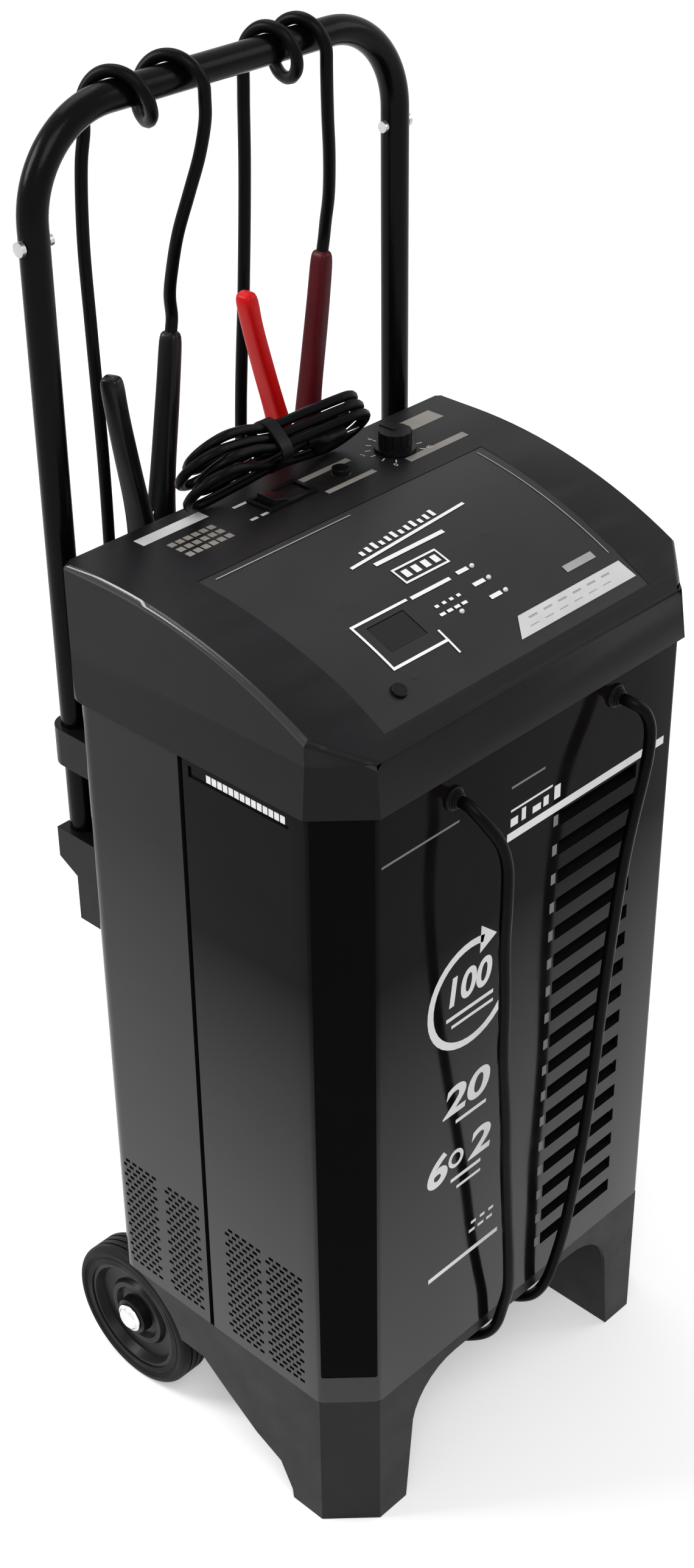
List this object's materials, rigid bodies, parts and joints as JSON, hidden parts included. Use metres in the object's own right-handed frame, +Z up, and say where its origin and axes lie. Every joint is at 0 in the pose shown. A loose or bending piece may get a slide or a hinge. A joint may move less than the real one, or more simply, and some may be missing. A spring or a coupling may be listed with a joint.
{
  "type": "car battery charger",
  "caption": "Wheeled upright car battery charger with a crowned control lid, a tubular handle, charging leads wound on its bar and sprung clamps.",
  "frame": {"origin": "on the floor, under the middle of the box round everything but the cords", "axes": "+Z up, -Y towards the front panel, +X to the right as seen from the front"},
  "size_m": [0.348, 0.3239, 0.9595],
  "materials": {
    "housing": "glossy, very dark grey with a warm cast",
    "insert": "high gloss black",
    "base": "satin moulded black",
    "lid": "fine textured dark grey",
    "console": "satin dark grey with printed rules",
    "window": "glossy dark lens",
    "board": "green board",
    "lamp": "clear moulded lamp",
    "control": "satin black",
    "tube": "black powder coat",
    "bracket": "satin black",
    "screw": "zinc plated",
    "steel": "bright steel",
    "cap": "polished",
    "tyre": "moulded rubber",
    "rim": "satin black",
    "core": "varnished laminations",
    "coil": "enamelled copper",
    "frame": "plated sheet",
    "sink": "extruded",
    "cord": "black flexible jacket",
    "plug": "moulded black",
    "clamp_black": "black",
    "clamp_red": "bright red",
    "clamp_dark_red": "dark red"
  },
  "bodies": {
    "charger": {"base_tray": "base", "front_housing": "housing", "rear_housing": "housing", "corner_insert_left": "insert", "corner_insert_right": "insert", "lid_housing": "lid", "console_panel": "console", "display_window": "window", "display_board": "board", "status_lamps": "lamp", "rocker_frame": "control", "breaker_body": "control", "selector_body": "control", "handle_grip": "tube", "handle_leg_left": "tube", "handle_leg_right": "tube", "handle_saddles": "bracket", "handle_sockets": "bracket", "handle_screws": "screw", "bracket_screws": "screw", "housing_screws": "screw", "axle": "steel", "axle_caps": "cap", "transformer_core": "core", "transformer_coil": "coil", "transformer_frame": "frame", "heat_sink": "sink", "rectifier_diodes": "steel", "control_board": "board", "fan_frame": "control", "lead_glands": "plug", "mains_gland": "plug", "negative_lead": "cord", "negative_winding": "cord", "negative_drop": "cord", "positive_lead": "cord", "positive_winding": "cord", "positive_drop": "cord", "mains_lead": "cord", "mains_hank": "cord", "hank_tie": "bracket", "mains_plug": "plug", "negative_clamp_half": "clamp_black", "negative_clamp_pin": "screw", "negative_clamp_spring": "screw", "positive_clamp_half": "clamp_dark_red", "positive_clamp_pin": "screw", "positive_clamp_spring": "screw"},
    "wheel_left": {"tyre_left": "tyre", "rim_left": "rim"},
    "wheel_right": {"tyre_right": "tyre", "rim_right": "rim"},
    "fan": {"fan_rotor": "control"},
    "rocker": {"rocker_switch": "control"},
    "breaker_reset": {"breaker_button": "control"},
    "select": {"select_button": "control"},
    "knob": {"selector_knob": "control"},
    "negative_jaw": {"negative_clamp_jaw": "clamp_black"},
    "positive_jaw": {"positive_clamp_jaw": "clamp_red"}
  },
  "joints": [
    {"name": "wheel_left_spin", "type": "hinge", "parent": "charger", "child": "wheel_left", "pos_m": [-0.1545, 0.087, 0.058], "axis": [1, 0, 0], "continuous": true},
    {"name": "wheel_right_spin", "type": "hinge", "parent": "charger", "child": "wheel_right", "pos_m": [0.1545, 0.087, 0.058], "axis": [1, 0, 0], "continuous": true},
    {"name": "fan_spin", "type": "hinge", "parent": "charger", "child": "fan", "pos_m": [0, 0.074, 0.25], "axis": [0, 1, 0], "continuous": true},
    {"name": "rocker_tip", "type": "hinge", "parent": "charger", "child": "rocker", "pos_m": [-0.018, 0.055, 0.683], "axis": [0, -1, 0], "range_deg": [0, 20]},
    {"name": "breaker_press", "type": "slide", "parent": "charger", "child": "breaker_reset", "axis": [0, 0, -1], "range_m": [0, 0.003], "stiffness_N_per_m": 400, "springref_m": -0.003},
    {"name": "select_press", "type": "slide", "parent": "charger", "child": "select", "axis": [0, 0.4597, -0.8881], "range_m": [0, 0.002], "stiffness_N_per_m": 300, "springref_m": -0.002},
    {"name": "knob_turn", "type": "hinge", "parent": "charger", "child": "knob", "pos_m": [0.082, 0.051, 0.687], "axis": [0, 0, -1], "range_deg": [-135, 135]},
    {"name": "negative_squeeze", "type": "hinge", "parent": "charger", "child": "negative_jaw", "pos_m": [-0.074, 0.116, 0.655], "axis": [-0.342, 0.9397, 0], "range_deg": [0, 20], "stiffness_Nm_per_rad": 0.6, "springref_deg": -28.65},
    {"name": "positive_squeeze", "type": "hinge", "parent": "charger", "child": "positive_jaw", "pos_m": [0.053, 0.113, 0.675], "axis": [-0.1045, 0.9945, 0], "range_deg": [0, 20], "stiffness_Nm_per_rad": 0.6, "springref_deg": -28.65}
  ]
}
